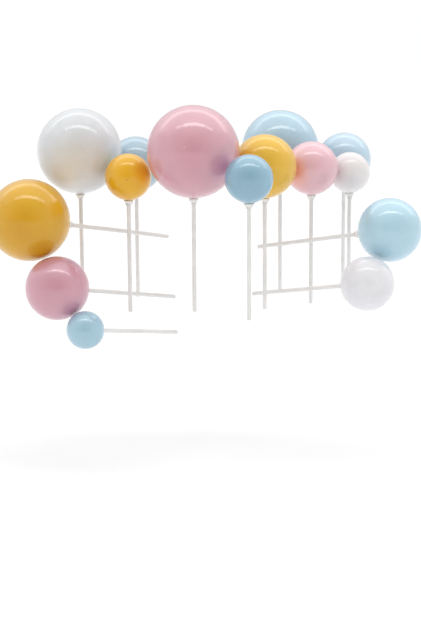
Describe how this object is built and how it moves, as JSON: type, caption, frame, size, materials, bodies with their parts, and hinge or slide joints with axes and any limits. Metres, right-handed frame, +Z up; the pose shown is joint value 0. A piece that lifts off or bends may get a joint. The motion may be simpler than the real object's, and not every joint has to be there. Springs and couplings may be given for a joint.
{
  "type": "cake topper",
  "caption": "Cake topper of glossy pastel balls in white, pink, blue and yellow, each a lacquered foam ball on a straight wire pick, set as on a round cake.",
  "frame": {"origin": "centre of the flat cake top that the upper picks stand in", "axes": "+Z up out of the cake's top, -Y towards the front, +X to the right as seen from the front"},
  "size_m": [0.2087, 0.1186, 0.1159],
  "materials": {
    "white_lacquer": "gloss",
    "pink_lacquer": "gloss",
    "blue_lacquer": "gloss",
    "yellow_lacquer": "gloss",
    "foam": "matte",
    "coated_wire": "satin",
    "glue": "gloss"
  },
  "bodies": {
    "white_large_pick": {"white_large_foam_ball": "foam", "white_large_lacquer_coat": "white_lacquer", "white_large_wire": "coated_wire", "white_large_glue_bead": "glue"},
    "blue_behind_pick": {"blue_behind_foam_ball": "foam", "blue_behind_lacquer_coat": "blue_lacquer", "blue_behind_wire": "coated_wire", "blue_behind_glue_bead": "glue"},
    "yellow_small_pick": {"yellow_small_foam_ball": "foam", "yellow_small_lacquer_coat": "yellow_lacquer", "yellow_small_wire": "coated_wire", "yellow_small_glue_bead": "glue"},
    "pink_large_pick": {"pink_large_foam_ball": "foam", "pink_large_lacquer_coat": "pink_lacquer", "pink_large_wire": "coated_wire", "pink_large_glue_bead": "glue"},
    "blue_front_pick": {"blue_front_foam_ball": "foam", "blue_front_lacquer_coat": "blue_lacquer", "blue_front_wire": "coated_wire", "blue_front_glue_bead": "glue"},
    "yellow_middle_pick": {"yellow_middle_foam_ball": "foam", "yellow_middle_lacquer_coat": "yellow_lacquer", "yellow_middle_wire": "coated_wire", "yellow_middle_glue_bead": "glue"},
    "blue_large_pick": {"blue_large_foam_ball": "foam", "blue_large_lacquer_coat": "blue_lacquer", "blue_large_wire": "coated_wire", "blue_large_glue_bead": "glue"},
    "pink_middle_pick": {"pink_middle_foam_ball": "foam", "pink_middle_lacquer_coat": "pink_lacquer", "pink_middle_wire": "coated_wire", "pink_middle_glue_bead": "glue"},
    "blue_back_pick": {"blue_back_foam_ball": "foam", "blue_back_lacquer_coat": "blue_lacquer", "blue_back_wire": "coated_wire", "blue_back_glue_bead": "glue"},
    "white_small_pick": {"white_small_foam_ball": "foam", "white_small_lacquer_coat": "white_lacquer", "white_small_wire": "coated_wire", "white_small_glue_bead": "glue"},
    "yellow_side_pick": {"yellow_side_foam_ball": "foam", "yellow_side_lacquer_coat": "yellow_lacquer", "yellow_side_wire": "coated_wire", "yellow_side_glue_bead": "glue"},
    "pink_side_pick": {"pink_side_foam_ball": "foam", "pink_side_lacquer_coat": "pink_lacquer", "pink_side_wire": "coated_wire", "pink_side_glue_bead": "glue"},
    "blue_side_small_pick": {"blue_side_small_foam_ball": "foam", "blue_side_small_lacquer_coat": "blue_lacquer", "blue_side_small_wire": "coated_wire", "blue_side_small_glue_bead": "glue"},
    "blue_side_pick": {"blue_side_foam_ball": "foam", "blue_side_lacquer_coat": "blue_lacquer", "blue_side_wire": "coated_wire", "blue_side_glue_bead": "glue"},
    "white_side_pick": {"white_side_foam_ball": "foam", "white_side_lacquer_coat": "white_lacquer", "white_side_wire": "coated_wire", "white_side_glue_bead": "glue"}
  },
  "joints": [
    {"name": "white_large_draw", "type": "slide", "parent": "pink_large_pick", "child": "white_large_pick", "axis": [0, 0, 1], "range_m": [0, 0.055]},
    {"name": "blue_behind_draw", "type": "slide", "parent": "pink_large_pick", "child": "blue_behind_pick", "axis": [0, 0, 1], "range_m": [0, 0.055]},
    {"name": "yellow_small_draw", "type": "slide", "parent": "pink_large_pick", "child": "yellow_small_pick", "axis": [0, 0, 1], "range_m": [0, 0.055]},
    {"name": "blue_front_draw", "type": "slide", "parent": "pink_large_pick", "child": "blue_front_pick", "axis": [0, 0, 1], "range_m": [0, 0.055]},
    {"name": "yellow_middle_draw", "type": "slide", "parent": "pink_large_pick", "child": "yellow_middle_pick", "axis": [0, 0, 1], "range_m": [0, 0.055]},
    {"name": "blue_large_draw", "type": "slide", "parent": "pink_large_pick", "child": "blue_large_pick", "axis": [0, 0, 1], "range_m": [0, 0.055]},
    {"name": "pink_middle_draw", "type": "slide", "parent": "pink_large_pick", "child": "pink_middle_pick", "axis": [0, 0, 1], "range_m": [0, 0.055]},
    {"name": "blue_back_draw", "type": "slide", "parent": "pink_large_pick", "child": "blue_back_pick", "axis": [0, 0, 1], "range_m": [0, 0.055]},
    {"name": "white_small_draw", "type": "slide", "parent": "pink_large_pick", "child": "white_small_pick", "axis": [0, 0, 1], "range_m": [0, 0.055]},
    {"name": "yellow_side_draw", "type": "slide", "parent": "pink_large_pick", "child": "yellow_side_pick", "axis": [-0.8806, -0.441, 0.1736], "range_m": [0, 0.055]},
    {"name": "pink_side_draw", "type": "slide", "parent": "pink_large_pick", "child": "pink_side_pick", "axis": [-0.7803, -0.6009, 0.1736], "range_m": [0, 0.055]},
    {"name": "blue_side_small_draw", "type": "slide", "parent": "pink_large_pick", "child": "blue_side_small_pick", "axis": [-0.6538, -0.7364, 0.1736], "range_m": [0, 0.055]},
    {"name": "blue_side_draw", "type": "slide", "parent": "pink_large_pick", "child": "blue_side_pick", "axis": [0.8911, -0.4193, 0.1736], "range_m": [0, 0.055]},
    {"name": "white_side_draw", "type": "slide", "parent": "pink_large_pick", "child": "white_side_pick", "axis": [0.7865, -0.5927, 0.1736], "range_m": [0, 0.055]}
  ]
}
